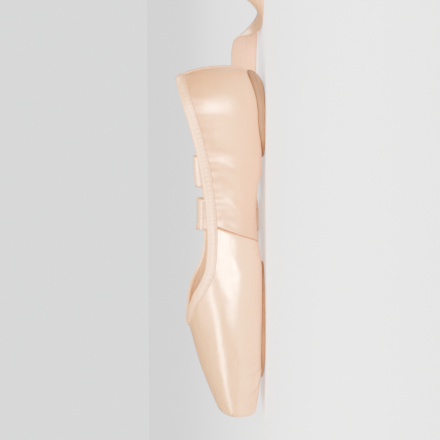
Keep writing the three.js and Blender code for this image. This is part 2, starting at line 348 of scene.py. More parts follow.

# %% [markdown]
# ## The ribbons
#
# Each ribbon is a flat satin tape of about 45 cm, sewn inside the collar. Here it climbs over the collar,
# drops to the floor and lies there in loose waves, standing on one edge where it turns. Its route is a table
# of points, with a bank that says how far the ribbon is tipped. A grid is bent along it.

# %% Ribbon routes
# Each row is x, y, z in millimetres in the scene's own frame, and the bank in degrees.
RIBBON_WIDTH = 22
RIBBON_CLEAR = 0.3
LEFT_RIBBON = (
    (-14, 26.9, 28, -8), (-14, 26.6, 22, -8), (-14, 25.5, 17.4, -7), (-14, 22.6, 13.7, -4),
    (-14, 18, 11.9, 0), (-14, 9, 11.4, 0), (-14, 0, 11.4, 0), (-14, -11, 11.4, 0),
    (-14, -19.2, 13, 0), (-14, -23.2, 19, 0), (-14, -24.2, 28, 0), (-14, -24, 37, 0),
    (-14, -25.4, 42.8, 0), (-14, -29.4, 44.8, 0), (-14, -33.2, 41, 0), (-14, -34.4, 32, 0),
    (-14, -35, 20, 0), (-14, -36.8, 9, 0), (-13, -41.8, 2.4, 0), (-8, -53, 0.8, 0),
    (3, -66, 3, 12), (18, -75, 7.6, 40), (36, -79, 9.6, 58), (55, -76, 8.4, 48),
    (74, -70, 3.4, 14), (93, -66, 3.4, -14), (111, -68, 9.6, -58), (124, -78, 10.9, -76),
    (129, -93, 11.1, -82), (123, -108, 10.9, -76), (108, -117, 9.6, -58), (90, -119, 5, -24),
    (70, -117, 0.6, 0), (50, -113, 0.6, 0), (29, -110, 0.6, 0), (8, -110, 0.6, 0),
)
RIGHT_RIBBON = (
    (-44, -25.1, 26, 0), (-44, -24.6, 34, 0), (-44, -23.2, 41.4, -2), (-44, -26, 47, -4),
    (-44, -30.4, 43.6, -2), (-44, -31.2, 34, 0), (-44, -32.2, 21, 0), (-44, -34.2, 9.2, 0),
    (-45, -39, 2.4, 0), (-49, -50, 0.8, 0), (-58, -66, 3, -12), (-72, -79, 7.6, -40),
    (-90, -86, 9.6, -58), (-109, -85, 9.6, -58), (-126, -77, 9.6, -58), (-139, -63, 8.4, -48),
    (-147, -45, 3.4, -14), (-154, -26, 3.4, 14), (-164, -9, 9.6, 58), (-179, 2, 10.9, 76),
    (-195, 0, 11.1, 82), (-204, -13, 10.9, 76), (-203, -30, 9.6, 58), (-197, -47, 4.6, 24),
    (-191, -65, 0.6, 0), (-187, -84, 0.6, 0), (-185, -103, 0.6, 0), (-186, -125, 0.6, 0),
    (-190, -147, 0.6, 0),
)
print("points of the routes:", len(LEFT_RIBBON), "and", len(RIGHT_RIBBON))


# %% A smooth way along a route
def along_route(route, share):
    """The place and the bank on a smooth curve through a route, at a share of the count of its points."""
    rows = [Vector(row) for row in route]
    whole = share * (len(rows) - 1)
    i = min(int(whole), len(rows) - 2)
    t = whole - i
    start, end = rows[i], rows[i + 1]
    before = rows[i - 1] if i else start * 2 - end
    after = rows[i + 2] if i + 2 < len(rows) else end * 2 - start
    gaps = [max((b - a).xyz.length, 0.01) ** 0.5 for a, b in ((before, start), (start, end), (end, after))]
    leave = (start - before) / gaps[0] - (end - before) / (gaps[0] + gaps[1]) + (end - start) / gaps[1]
    arrive = (end - start) / gaps[1] - (after - start) / (gaps[1] + gaps[2]) + (after - end) / gaps[2]
    point = blend(start, end, leave, arrive, gaps[1], t)
    return point.xyz, radians(point.w)


def ribbon_frames(route, steps):
    """Place, sideways direction and facing of the ribbon at even steps of its route."""
    frames = []
    sideways = None
    for k in range(steps + 1):
        here, bank = along_route(route, k / steps)
        after, before = min(k / steps + 1e-4, 1), max(k / steps - 1e-4, 0)
        ahead = (along_route(route, after)[0] - along_route(route, before)[0]).normalized()
        level = ahead.cross(UP).normalized()
        if sideways is not None and level.dot(sideways) < 0:
            level.negate()
        sideways = level
        across = Matrix.Rotation(bank, 3, ahead) @ level
        frames.append((here, across, across.cross(ahead).normalized()))
    return frames


# %% Make the ribbons
RIBBON_STEPS = 260
RIBBON_ROWS = 14
RIBBON_CLOTH = 0.35


def make_ribbon(name, route):
    frames = ribbon_frames(route, RIBBON_STEPS)
    centres = [row[0] for row in frames]
    length = running_lengths(centres)[-1]

    def where(u, v):
        here, across, facing = frames[round(u * RIBBON_STEPS)]
        side = 2 * v - 1
        cup = 0.5 * side * side + 0.25 * sin(u * 61 + side * 1.3) * abs(side) ** 3
        # The ribbon is darker along both edges.
        darker_edges = 0.12 * smooth(0.90, 0.94, abs(side))
        point = here + across * (side * RIBBON_WIDTH / 2) + facing * (cup * 0.6)
        point.z = max(point.z, RIBBON_CLEAR)
        return point * MM, darker_edges

    bm = grid(RIBBON_STEPS, RIBBON_ROWS, where, size=(length * MM, RIBBON_WIDTH * MM))
    ribbon = finish(bm, name, ribbon_satin, cloth=RIBBON_CLOTH, offset=0)
    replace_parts(ribbon, name.replace("satin_", ""))
    print(f"{name}: {length:.0f} mm long")


make_ribbon("satin_ribbon_left", LEFT_RIBBON)
make_ribbon("satin_ribbon_right", RIGHT_RIBBON)

# %% [markdown]
# ## The last, as tables
#
# The last is the foot-shaped form that the shoe is built on. Each row is one section: half its width, the
# height of its widest point, the lift of its sole, half the flat under it, and the height of its top. A
# second table gives the collar's edge in side view. A smooth curve through a column fills in between rows.

# %% The last and the collar
COLUMNS = ("at", "half", "level", "sole", "flat", "top")
LAST = [dict(zip(COLUMNS, row)) for row in (
    (30, 29.0, 24.0, 0.0, 12.5, 72.0),
    (62, 28.0, 21.5, 0.0, 12.0, 76.0),
    (80, 27.8, 21.0, 2.2, 12.0, 75.0),
    (98, 28.8, 20.5, 3.8, 12.5, 71.5),
    (116, 31.6, 19.5, 2.2, 14.5, 66.0),
    (136, 35.8, 18.5, 0.0, 17.5, 60.0),
    (154, 39.0, 18.0, 0.0, 20.0, 54.5),
    (172, 40.2, 17.5, 0.0, 21.0, 50.0),
    (188, 38.8, 17.0, 0.0, 20.0, 46.0),
    (204, 35.2, 16.5, 0.2, 18.0, 41.4),
    (218, 30.8, 16.0, 1.3, 15.0, 36.4),
    (230, 26.8, 15.8, 2.6, 12.5, 31.4),
    (238, 24.0, 15.6, 3.6, 11.0, 27.8),
)]
COLLAR = [dict(zip(("at", "height"), row)) for row in (
    (-12, 60.0), (8, 56.6), (24, 52.4), (44, 46.4), (68, 40.8), (92, 37.4), (114, 36.2),
    (130, 37.2), (140, 39.8), (147, 43.4), (153, 46.4), (162, 48.9), (172.6, 50.1),
)]
HEEL_PIVOT = 30
THROAT = COLLAR[-1]["at"]
PLATFORM_EDGE = 3.2
LOWER_CORNER = 2.2
UPPER_CORNER = 2.15


def curve(rows, column):
    """A smooth curve through one column of a table, which never overshoots between its rows."""
    xs = [row["at"] for row in rows]
    ys = [row[column] for row in rows]
    slopes = [(ys[k + 1] - ys[k]) / (xs[k + 1] - xs[k]) for k in range(len(xs) - 1)]
    inner = [0 if a * b <= 0 else 2 * a * b / (a + b) for a, b in zip(slopes, slopes[1:])]
    tangents = [slopes[0], *inner, slopes[-1]]

    def value(at):
        x = min(max(at, xs[0]), xs[-1])
        i = min(max(bisect.bisect_left(xs, x) - 1, 0), len(slopes) - 1)
        span = xs[i + 1] - xs[i]
        return blend(ys[i], ys[i + 1], tangents[i], tangents[i + 1], span, (x - xs[i]) / span)

    return value


half, level, sole, flat, top = [curve(LAST, column) for column in COLUMNS[1:]]
collar = curve(COLLAR, "height")
print(f"widest: {2 * half(172):.1f} mm; the frame says {(upper_high[1] - upper_low[1]) / MM:.1f} mm")

# %% [markdown]
# ## A point anywhere on the skin
#
# A section runs from the middle of the sole over a rounded corner to the widest point and up to the collar.
# Behind the heel's pivot the sections turn like the pages of a book. `skin` finds a point by its section and
# its share of the way from the sole's middle to the collar, and `grow` moves it outwards.


# %% Points on a section
def sizes_at(at, turn, grow):
    """Reach, height of the widest point, bottom and edge of the flat, for a section moved out by grow."""
    reach = grow + (lerp(half(HEEL_PIVOT), HEEL_PIVOT, sin(turn) ** 2) if turn else half(at))
    return reach, BASE + level(at), BASE + sole(at) - grow, min(flat(at), reach - 2)


def section(at, turn, step, grow=0.0):
    """A point of a section: step is 0 to 1 over the flat, to 2 at the widest point, and to 3 at the top."""
    reach, widest, bottom, edge = sizes_at(at, turn, grow)
    if step < 1:
        out, z = edge * step, bottom
    elif step < 2:
        angle = (step - 1) * pi / 2
        out = edge + (reach - edge) * sin(angle) ** (2 / LOWER_CORNER)
        z = widest - (widest - bottom) * cos(angle) ** (2 / LOWER_CORNER)
    else:
        angle = min(step - 2, 1) * pi / 2
        out = reach * max(cos(angle), 0) ** (2 / UPPER_CORNER) if step < 3 else 0
        z = widest + (BASE + top(at) + grow - widest) * sin(angle) ** (2 / UPPER_CORNER)
    return Vector((at - out * sin(turn), out * cos(turn), z))


@functools.lru_cache(maxsize=None)
def edge_step(at, turn):
    """The step at which a section meets the collar's edge, or its closed top."""
    if at >= THROAT:
        return 3.0
    low, high = 2.0, 3.0
    for _ in range(26):
        middle = (low + high) / 2
        point = section(at, turn, middle)
        if point.z < BASE + collar(point.x):
            low = middle
        else:
            high = middle
    return low


SECTION_SAMPLES = 72


@functools.lru_cache(maxsize=None)
def section_lengths(at, turn):
    """The length from the sole's middle to each of the samples, in millimetres."""
    end = edge_step(at, turn)
    steps = [end * k / SECTION_SAMPLES for k in range(SECTION_SAMPLES + 1)]
    return running_lengths([section(at, turn, step) for step in steps])


def skin(at, turn, share, grow=0.0):
    """A point on the last, by its section and by its share of the way from the sole's middle to the edge."""
    lengths = section_lengths(round(at * 2) / 2 if at < THROAT - 8 else at, turn)
    distance = min(max(share, 0), 1) * lengths[-1]
    k = min(bisect.bisect_right(lengths, distance) - 1, SECTION_SAMPLES - 1)
    part = (distance - lengths[k]) / (lengths[k + 1] - lengths[k])
    return section(at, turn, edge_step(at, turn) * (k + part) / SECTION_SAMPLES, grow)


def underside(x, y, grow=0.0):
    """The height of the last's bottom under a point of the plan."""
    behind = max(HEEL_PIVOT - x, 0)
    out = hypot(behind, y)
    turn = atan2(behind, abs(y)) if behind else 0
    reach, widest, bottom, edge = sizes_at(max(x, HEEL_PIVOT), turn, grow)
    past = min(max(out - edge, 0) / (reach - edge), 1)
    return widest - (widest - bottom) * (1 - past ** LOWER_CORNER) ** (1 / LOWER_CORNER)


def under(x, y, grow):
    """A point under the last, moved squarely off it by grow."""
    step = 0.3
    slope_x = (underside(x + step, y) - underside(x - step, y)) / (2 * step)
    slope_y = (underside(x, y + step) - underside(x, y - step)) / (2 * step)
    return Vector((x, y, underside(x, y))) + Vector((slope_x, slope_y, -1)).normalized() * grow


print("the collar's edge stands at", [round(skin(at, 0, 1).z, 1) for at in (30, 80, 130, 170)])

# %% [markdown]
# ## The leather patches' outlines
#
# The forefoot patch is an egg with its broad end to the toe, and the heel patch a rounded tongue. Both come
# from one formula of an angle. Turned round, it says how far out a point lies, which the pleats need too.

# %% Patch outlines
FOREFOOT = {"centre": 174, "length": 41, "width": 25, "taper": 0.28, "square": 1.0}
HEEL = {"centre": 32.5, "length": 29.5, "width": 21.5, "taper": -0.08, "square": 1.1}
PATCH_THICKNESS = 2.2
GAP = 0.3


def raised(value, power):
    """A power that keeps the sign."""
    return copysign(abs(value) ** power, value)


def swollen(patch, along):
    """The patch's half width, which its taper makes larger towards one end."""
    return patch["width"] * ((1 + patch["taper"] * along) / sqrt(1 + patch["taper"] ** 2 / 2))


def patch_point(patch, radius, angle):
    """The plan point of a patch at a distance and an angle, with the edge at distance 1."""
    along, across = cos(angle), sin(angle)
    x = patch["length"] * raised(along, 1 / patch["square"])
    y = swollen(patch, along) * raised(across, 1 / patch["square"])
    return patch["centre"] + radius * x, radius * y


def patch_reach(patch, angle):
    """About how far a patch's edge lies from its centre."""
    return hypot(patch["length"] * cos(angle), patch["width"] * sin(angle))


def patch_distance(patch, x, y):
    """How far a plan point lies outside a patch's edge, in millimetres, and negative inside."""
    along = raised((x - patch["centre"]) / patch["length"], patch["square"])
    across = (abs(y) / swollen(patch, min(max(along, -1), 1))) ** patch["square"]
    radius = hypot(along, across)
    if radius < 1e-6:
        return -patch["width"]
    return hypot(x - patch["centre"], y) * (1 - 1 / radius ** (1 / patch["square"]))


for name, patch in (("outsole_forefoot", FOREFOOT), ("outsole_heel", HEEL)):
    front = (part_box(name)[1][0] / MM + MIDDLE) - patch_point(patch, 1, 0)[0]
    print(f"{name}: front edge {front:+.2f} mm from the frame's")

# %% [markdown]
# ## Creases, pleats and puckers
#
# Pleats fan out under the toe, where the cloth is drawn in under the leather. A few soft creases cross the
# waist and the sides, each given as a stroke with a width and a height. The drawstring gathers the
# cloth into small puckers below the binding, and every seam rolls its edges under.

# %% Strokes on the sides and under the arch
# Each row: side (1 is +Y), start x and height, end x and height, half width, rise (below 0 for a trough)
SIDE_STROKES = (
    (1, 132, 29, 148, 20, 4.4, -0.20), (1, 127, 22, 141, 13, 3.4, 0.22), (1, 146, 33, 162, 26, 5.0, -0.14),
    (1, 100, 28, 112, 13, 3.8, -0.45), (1, 88, 24, 101, 11, 3.4, 0.38), (1, 76, 30, 92, 12, 4.0, -0.42),
    (1, 62, 28, 70, 11, 3.6, 0.36), (1, 54, 36, 61, 15, 4.4, -0.36), (1, 38, 46, 54, 39, 5.4, -0.26),
    (1, 196, 31, 214, 22, 5.2, -0.14), (1, 182, 22, 203, 12, 4.2, 0.16),
    (-1, 130, 27, 146, 18, 4.2, -0.20), (-1, 139, 37, 152, 29, 4.6, 0.16),
    (-1, 100, 30, 111, 14, 3.6, -0.44), (-1, 90, 22, 103, 10, 3.4, 0.36), (-1, 74, 28, 88, 12, 4.0, -0.40),
    (-1, 60, 30, 68, 12, 3.6, 0.34), (-1, 50, 38, 59, 16, 4.4, -0.34), (-1, 34, 46, 49, 40, 5.2, 0.24),
    (-1, 192, 33, 211, 25, 5.0, -0.14), (-1, 176, 20, 198, 11, 4.2, 0.16),
)
# Folds in plan that run out from the leather: start x and y, end x and y, half width, rise
PLAN_STROKES = (
    (207, 26, 219, 27, 1.7, 0.75), (212, 22, 226, 25, 1.2, -0.6), (213, -22, 227, -24, 1.4, 0.65),
    (206, -27, 218, -28, 1.5, -0.55), (131, 4, 112, 10, 2.2, -0.4), (129, -5, 114, -12, 2.2, 0.4),
    (64, 12, 78, 17, 2.0, 0.5), (65, 5, 82, 7, 1.8, -0.45), (64, -10, 80, -15, 2.1, 0.5),
    (63, -16, 74, -21, 1.8, -0.4),
)
CREASE_STRENGTH = 1.6
print("strokes:", len(SIDE_STROKES), "on the sides and", len(PLAN_STROKES), "from below")


def stroke(a, b, start, end, width, rise):
    """The height of one soft ridge or trough at a point, fading towards both of its ends."""
    run = (end[0] - start[0], end[1] - start[1])
    share = ((a - start[0]) * run[0] + (b - start[1]) * run[1]) / (run[0] ** 2 + run[1] ** 2)
    share = min(max(share, 0), 1)
    gap = hypot(a - start[0] - run[0] * share, b - start[1] - run[1] * share) / width
    if gap > 3:
        return 0.0
    return rise * exp(-gap * gap) * sin(pi * (0.18 + 0.64 * share))


# %% Pleats, puckers and seams
PLEAT_SPACING = 0.20
PLEAT_RISE = 0.62
PUCKER_DEPTH = 0.34
SEAM_SOLE = 123.0
SEAM_COLLAR = 104.0


def seam_at(share):
    """Where the box's satin meets the stretch satin, from the middle of the sole to the collar."""
    return lerp(SEAM_SOLE, SEAM_COLLAR, share)


def pleats(x, y, z):
    """The pleats under the toe: round ridges and sharp valleys that fan out from the leather, with painted
    shade in the valleys.
    """
    beyond = patch_distance(FOREFOOT, x, y)
    if beyond < -2 or x < 186:
        return 0.0, 0.0
    angle = atan2(y, x - 190)
    phase = angle / PLEAT_SPACING + 0.45 * sin(3.1 * angle + 0.6) + 0.22 * sin(7.7 * angle + 2.0)
    ridge = abs(sin(pi * phase)) ** 0.8
    depth = 0.62 + 0.38 * sin(5.3 * angle + 1.0) * cos(2.1 * angle)
    fade = smooth(-1.5, 1.5, beyond) * (1 - 0.86 * smooth(7, 24, beyond))
    low = 1 - smooth(BASE + 5, BASE + 14, z)
    start = smooth(186, 197, x)
    strength = depth * fade * low * start
    return PLEAT_RISE * strength * (ridge - 0.35), strength * (1 - ridge) ** 2


def puckers(x, below):
    """The gathers below the binding: how far the cloth rises at a station, at a depth below the edge."""
    if below > 22:
        return 0.0
    wave = sin(x * 1.15 + 1.7 * sin(x * 0.21)) + 0.6 * sin(x * 0.71 + 1.0)
    return PUCKER_DEPTH * 0.5 * wave * exp(-below / 6.5)


def rolled(distance, reach, depth):
    """How far an edge rolls under, at a distance from its seam."""
    return -depth * (1 - min(distance / reach, 1)) ** 2


def drape(point, side, below, seam_distance):
    """All that moves the satin off the last at a point: the rise in millimetres, and the shade of it."""
    x, y, z = point
    rise, shade = pleats(x, y, z)
    for row in SIDE_STROKES:
        if row[0] == side:
            crease = CREASE_STRENGTH * stroke(x, z, row[1:3], row[3:5], row[5], row[6])
            rise += crease * smooth(4, 14, abs(y))
    if z < BASE + 12:
        for row in PLAN_STROKES:
            rise += stroke(x, y, row[0:2], row[2:4], row[4], row[5])
    if x < THROAT:
        rise += puckers(x, below)
    rise += 0.20 * noise.noise(Vector(point) * 0.055) + 0.05 * noise.noise(Vector(point) * 0.22)
    seam = rolled(seam_distance, 1.4, 0.6)
    if x < SEAM_SOLE + 12 and z < level(x) + BASE:
        seam += rolled(abs(y), 1.2, 0.6)
    rise += seam
    # The shade is painted shade: darker in the pleat valleys and where the seams roll under.
    return rise, min(shade + 0.8 * (-seam) ** 1.5, 1)


def length_at(at, turn):
    return section_lengths(round(at * 2) / 2, turn)[-1]


def satin_point(at, turn, side, share, seam_distance, calm=1.0, inset=0.0):
    """A point of the draped satin, its shade, and its depth below the collar's edge."""
    on_last = skin(at, turn, share)
    on_last.y *= side
    below = (1 - share) * length_at(at, turn)
    rise, shade = drape(on_last, side, below, seam_distance)
    if turn:
        rise += rolled(abs(on_last.y), 1.2, 0.5)
    point = skin(at, turn, share, inset + rise * calm)
    point.y *= side
    return point, shade, below


print("pleat at the toe's middle:", round(pleats(221, 0, BASE)[0], 2), "mm")

# %% [markdown]
# ## The box's satin
#
# The front of the shoe is one piece of satin, pulled over the box. It is one grid: columns run from the seam
# to the platform, close together round the throat, and then over the rounded rim to the platform's middle.
# Rows run round the shoe, from one side of the throat under the sole to the other.

# %% Stations of the box's satin
SATIN_CLOTH = 0.5
MERGE = 2e-6
SEAM_MIDDLE = (SEAM_SOLE + SEAM_COLLAR) / 2
RIM_STEPS = 6
FACE_STEPS = 12
VAMP_ROWS = 200


def spaced(start, end, count, ease=lambda t: t):
    """Stations from start up to, but not with, end."""
    return [lerp(start, end, ease(k / count)) for k in range(count)]


body_end = LENGTH - PLATFORM_EDGE
vamp_stations = (
    spaced(SEAM_MIDDLE, 118, 10)
    + spaced(118, 160, 32)
    + spaced(160, THROAT, 16, lambda t: 1 - (1 - t) ** 2)
    + spaced(THROAT, 182, 10, lambda t: t * t)
    + spaced(182, 204, 20)
    + spaced(204, body_end, 44)
)
VAMP_COLUMNS = len(vamp_stations) + RIM_STEPS + FACE_STEPS
print("columns:", VAMP_COLUMNS)


# %% Make the box's satin
def rim_station(k):
    """Station and inset of a step round the platform's rim."""
    angle = pi / 2 * min(k / RIM_STEPS, 1)
    return body_end + PLATFORM_EDGE * sin(angle), -PLATFORM_EDGE * (1 - cos(angle))


def side_of(v):
    """The side and the share for a row that runs from one edge under the sole to the other."""
    across = 2 * v - 1
    return (1 if across >= 0 else -1), abs(across)


def box_satin_point(u, v):
    side, share = side_of(v)
    column = round(u * VAMP_COLUMNS)
    if column < len(vamp_stations):
        at, inset = vamp_stations[column], 0.0
        at += (seam_at(share) - SEAM_MIDDLE) * (1 - smooth(SEAM_MIDDLE, 148, at))
    else:
        at, inset = rim_station(column - len(vamp_stations))
    calm = 1 - 0.5 * smooth(body_end, LENGTH, at)
    point, shade, _ = satin_point(at, 0, side, share, max(at - seam_at(share), 0), calm, inset)
    inward = max(column - len(vamp_stations) - RIM_STEPS, 0) / FACE_STEPS
    middle = Vector((LENGTH - 0.35, 0, BASE + level(LENGTH)))
    if inward:
        point = point.lerp(middle, inward) if inward < 1 else middle
    return place(point), shade * (1 - inward)


box_bm = grid(VAMP_COLUMNS, VAMP_ROWS, box_satin_point, close=MERGE)
box_satin = finish(box_bm, "box_satin", satin, outward=(1, 0, 0), cloth=SATIN_CLOTH)
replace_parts(box_satin, "upper")

# %% [markdown]
# ## The stretch satin
#
# Behind the seam the shoe is two soft panels of stretch satin, one a side, that meet under the arch and up
# the back of the heel. Each is a grid, whose columns run back from the slanting seam and round the heel.

# %% Make the stretch satin
BACK_COLUMNS = 66
TURN_COLUMNS = 40
BACK_ROWS = 90
UNDER_BINDING_PAINTED_SHADE = 0.30
SEAM_PAINTED_SHADE = 0.26


def heel_section(column):
    """Station and turn of a column of the rear panels, for a panel whose seam is at the middle station."""
    if column <= BACK_COLUMNS:
        return lerp(SEAM_MIDDLE, HEEL_PIVOT, column / BACK_COLUMNS), 0.0
    return HEEL_PIVOT, pi / 2 * (column - BACK_COLUMNS) / TURN_COLUMNS


def make_quarter(name, side):
    def where(u, v):
        at, turn = heel_section(round(u * (BACK_COLUMNS + TURN_COLUMNS)))
        if not turn:
            at += (seam_at(v) - SEAM_MIDDLE) * smooth(70, SEAM_MIDDLE, at)
        point, shade, below = satin_point(at, turn, side, v, max(seam_at(v) - at, 0))
        # Painted shade: a darker band below the binding, and darker stretch satin near its seam to the box.
        shade += UNDER_BINDING_PAINTED_SHADE * (1 - smooth(5, 21, below))
        shade += SEAM_PAINTED_SHADE * (1 - smooth(0, 24, seam_at(v) - at))
        return place(point), min(shade, 1)

    bm = grid(BACK_COLUMNS + TURN_COLUMNS, BACK_ROWS, where, close=MERGE)
    finish(bm, name, stretch_satin, outward=(0, side, 0), cloth=SATIN_CLOTH)


make_quarter("stretch_satin_left", 1)
make_quarter("stretch_satin_right", -1)

# %% [markdown]
# ## The lining
#
# Plain cotton lines the shoe, one wall in from the satin. The wall is thick in the box and thin at the
# collar, so the edge that the binding covers is slim.

# %% Make the lining
QUARTER_WALL = 1.5
BOX_WALL = 3.2
EDGE_WALL = 1.3
LINING_CLOTH = 0.4
LINING_COLUMNS = 110
LINING_ROWS = 120


def wall(at, below):
    """The wall between satin and lining at a station, at a depth below the collar's edge."""
    full = lerp(QUARTER_WALL, BOX_WALL, smooth(120, 180, at))
    return lerp(min(full, EDGE_WALL), full, smooth(2, 16, below))


def lining_section(share):
    """Station and turn for a share of the way from the toe to the back of the heel."""
    front = LENGTH - PLATFORM_EDGE - BOX_WALL
    straight = 0.78
    if share <= straight:
        return lerp(front, HEEL_PIVOT, share / straight), 0.0
    return HEEL_PIVOT, pi / 2 * (share - straight) / (1 - straight)


def shell_point(u, v, inward):
    """A point of the last moved inwards by inward(at, below), and its distance from the collar's edge."""
    side, share = side_of(v)
    at, turn = lining_section(u)
    below = hypot(max(at - THROAT, 0), (1 - share) * length_at(at, turn))
    point = skin(at, turn, share, -inward(at, below))
    point.y *= side
    return point, below


def lining_point(u, v):
    point, below = shell_point(u, v, wall)
    point.z += 0.12 * noise.noise(point * 0.1)
    # A painted shade darkens the lining near the collar's edge.
    return place(point), 0.25 * (1 - smooth(0, 9, below))


lining_bm = grid(LINING_COLUMNS, LINING_ROWS, lining_point, close=MERGE)
front = (LENGTH - MIDDLE - 8) * MM
rims = [edge for edge in lining_bm.edges if edge.is_boundary and edge.calc_length() < 0.01]
front_rim = [edge for edge in rims if min(vert.co.x for vert in edge.verts) > front]
bmesh.ops.holes_fill(lining_bm, edges=front_rim, sides=0)
finish(lining_bm, "lining", lining_cloth, outward=DOWN, inside=True, cloth=LINING_CLOTH)

# %% [markdown]
# ## The insole
#
# A cloth-covered board lies along the flat of the shoe. Its top follows the underside of the last, one wall
# and one board up, and its edge is square with a small round.

# %% Make the insole
INSOLE = {"heel": 8, "toe": 228, "margin": 5, "thickness": 2, "square": 14, "blunt": 0.9995}


def insole_point(u, v):
    along = INSOLE["blunt"] * sin(pi / 2 * (2 * u - 1))
    x = lerp(INSOLE["heel"], INSOLE["toe"], (along + 1) / 2)
    half_width = (flat(x) + INSOLE["margin"]) * sqrt(1 - abs(along) ** INSOLE["square"])
    y = half_width * (2 * v - 1)
    full = lerp(QUARTER_WALL, BOX_WALL, smooth(120, 180, x))
    z = underside(x, y, -full - GAP - INSOLE["thickness"]) + 0.1 * noise.noise(Vector((x, y, 0)) * 0.12)
    # A painted shade darkens the insole along its edge, where it meets the lining.
    return place((x, y, z)), 0.5 * smooth(half_width - 2.5, half_width, abs(y))


insole_bm = grid(150, 30, insole_point, close=1e-6)
insole = finish(insole_bm, "insole_sock", insole_cloth, cloth=INSOLE["thickness"] - 0.2)
soften = insole.modifiers.new("soft edge", "BEVEL")
soften.width = 0.4 * MM
soften.segments = 2
soften.limit_method = "ANGLE"
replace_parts(insole, "insole")

# %% [markdown]
# ## The leather patches
#
# The shoe stands on two patches. A square grid is wrapped onto a disc, so that its rings become the patch's
# edge and rim. The forefoot patch is scored for grip with two crossing families of curves, cut in the mesh.


# %% The scored pattern
def disc(u, v):
    """A square's point as a distance and an angle on a disc, so that its square rings become round ones."""
    a, b = 2 * u - 1, 2 * v - 1
    if abs(a) < 1e-9 and abs(b) < 1e-9:
        return 0.0, 0.0
    if abs(a) > abs(b):
        radius, angle = a, pi / 4 * b / a
    else:
        radius, angle = b, pi / 2 - pi / 4 * a / b
    return (radius, angle) if radius > 0 else (-radius, angle + pi)


SCORE_START = 18.5
SCORE_OFFSET = 15.0
SCORE_BEND = 12.0
SCORE_RISE = 26.4
SCORE_PITCH = 4.7
SCORE_WIDTH = 0.62
CHANNEL_IN = 2.1


def forefoot_marks(x, y, edge):
    """Depth from 0 to 1 of the scored curves, the thread channel and the awl mark at a point of the plan."""
    from_tip = x - (FOREFOOT["centre"] - FOREFOOT["length"])
    phases, lines = [], []
    for side in (-1, 1):
        out = (side * y + SCORE_OFFSET) / SCORE_BEND
        bend = sqrt(1 + out * out)
        phase = (from_tip - SCORE_START - SCORE_RISE * (bend - 1)) / SCORE_PITCH
        slope = SCORE_RISE / SCORE_BEND * out / bend
        away = abs(phase - round(phase)) * SCORE_PITCH / sqrt(1 + slope * slope)
        phases.append(phase)
        lines.append(1 - smooth(0.2 * SCORE_WIDTH, SCORE_WIDTH, away))
    scored = max(lines) * smooth(-0.12, 0.0, max(phases)) * smooth(1.6, 2.4, edge)
    awl = exp(-((from_tip - 10.5) / 1.7) ** 2 - ((y - 0.6) / 0.8) ** 2)
    return max(scored, channel(edge), awl)


def channel(edge):
    """The shallow channel that the thread lies in, just inside a patch's edge."""
    return 0.5 * exp(-((edge - CHANNEL_IN) / 0.5) ** 2)


def heel_marks(x, y, edge):
    # A shallow uneven dip near the back of the patch, darkened like the cuts.
    rear_dip = 0.10 + 0.10 * noise.noise(Vector((x, y, 0)) * 0.12)
    return max(channel(edge), rear_dip * (1 - smooth(0, 16, hypot(x - 22, y))))


# %% [markdown]
# ## Surfaces to lie on
#
# A search tree finds the nearest point of a surface. One tree holds the plain last and one the lining, and
# `lie_on` puts a piece's points on either, at a chosen height.


# %% Make the search trees
def surface_tree(inward):
    """A search tree of the whole last, moved inwards by inward(at, below)."""
    bm = grid(180, 160, lambda u, v: (place(shell_point(u, v, inward)[0]), 0.0), close=MERGE)
    tree = BVHTree.FromBMesh(bm)
    bm.free()
    return tree


outer_tree = surface_tree(lambda at, below: 0.0)
inner_tree = surface_tree(wall)


def lie_on(tree, guess, lift, outward):
    """The nearest point of a surface, lifted off it in millimetres on the side that outward says."""
    spot, normal, _, _ = tree.find_nearest(guess)
    if normal.dot(outward) < 0:
        normal = -normal
    return spot + normal * lift * MM, normal


toe = place((LENGTH, 0, 20))
toe_wall = (outer_tree.find_nearest(toe)[0] - inner_tree.find_nearest(toe)[0]).length
print(f"the wall at the toe is {toe_wall / MM:.1f} mm")


# %% Make the patches
RIM_REACH = 2.6
RIM_ROUND = 1.75
CUT_DEPTH = 0.34
# The back of a patch: how much each ring shrinks from the one before, and its gap to the skin
BACK_RINGS = ((1, 0), (0.98, 0.3), (0.7, 0.3), (0.6, 0.3), (0.4, 0.3), (0, 0.3))


def make_patch(name, node, material, patch, marks, cells):
    def where(u, v):
        radius, angle = disc(u, v)
        x, y = patch_point(patch, radius, angle)
        edge = (1 - radius) * patch_reach(patch, angle)
        cut = marks(x, y, edge)
        rim = (1 - min(edge / RIM_REACH, 1)) ** 2
        off = GAP + PATCH_THICKNESS - CUT_DEPTH * cut - RIM_ROUND * rim
        # Painted shade darkens the cuts, the thread channel, the awl mark and the rounded rim.
        return place(under(x, y, off)), min(cut + 0.8 * rim, 1)

    bm = grid(cells, cells, where)
    centre = place((patch["centre"], 0, BASE))
    ring = [edge for edge in bm.edges if edge.is_boundary]
    for shrink, gap in BACK_RINGS:
        made = bmesh.ops.extrude_edge_only(bm, edges=ring)["geom"]
        ring = [part for part in made if isinstance(part, bmesh.types.BMEdge)]
        for vert in (part for part in made if isinstance(part, bmesh.types.BMVert)):
            vert.co, _ = lie_on(outer_tree, centre.lerp(vert.co, shrink), gap, DOWN)
    last_ring = dict.fromkeys(vert for edge in ring for vert in edge.verts)
    bmesh.ops.remove_doubles(bm, verts=list(last_ring), dist=1e-5)
    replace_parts(finish(bm, name, material, outward=DOWN), node)


make_patch(
    "forefoot_patch", "outsole_forefoot", forefoot_leather, FOREFOOT, forefoot_marks, 200
)
make_patch("heel_patch", "outsole_heel", heel_leather, HEEL, heel_marks, 110)

# %% [markdown]
# ## The collar binding
#
# A folded satin binding closes the collar. It is a closed band: at each station of the edge, a row of points
# climbs the outside, goes round the fold, and comes down the inside.
# Outside it lies on the plain last's search tree and inside on the lining's, so it follows both.


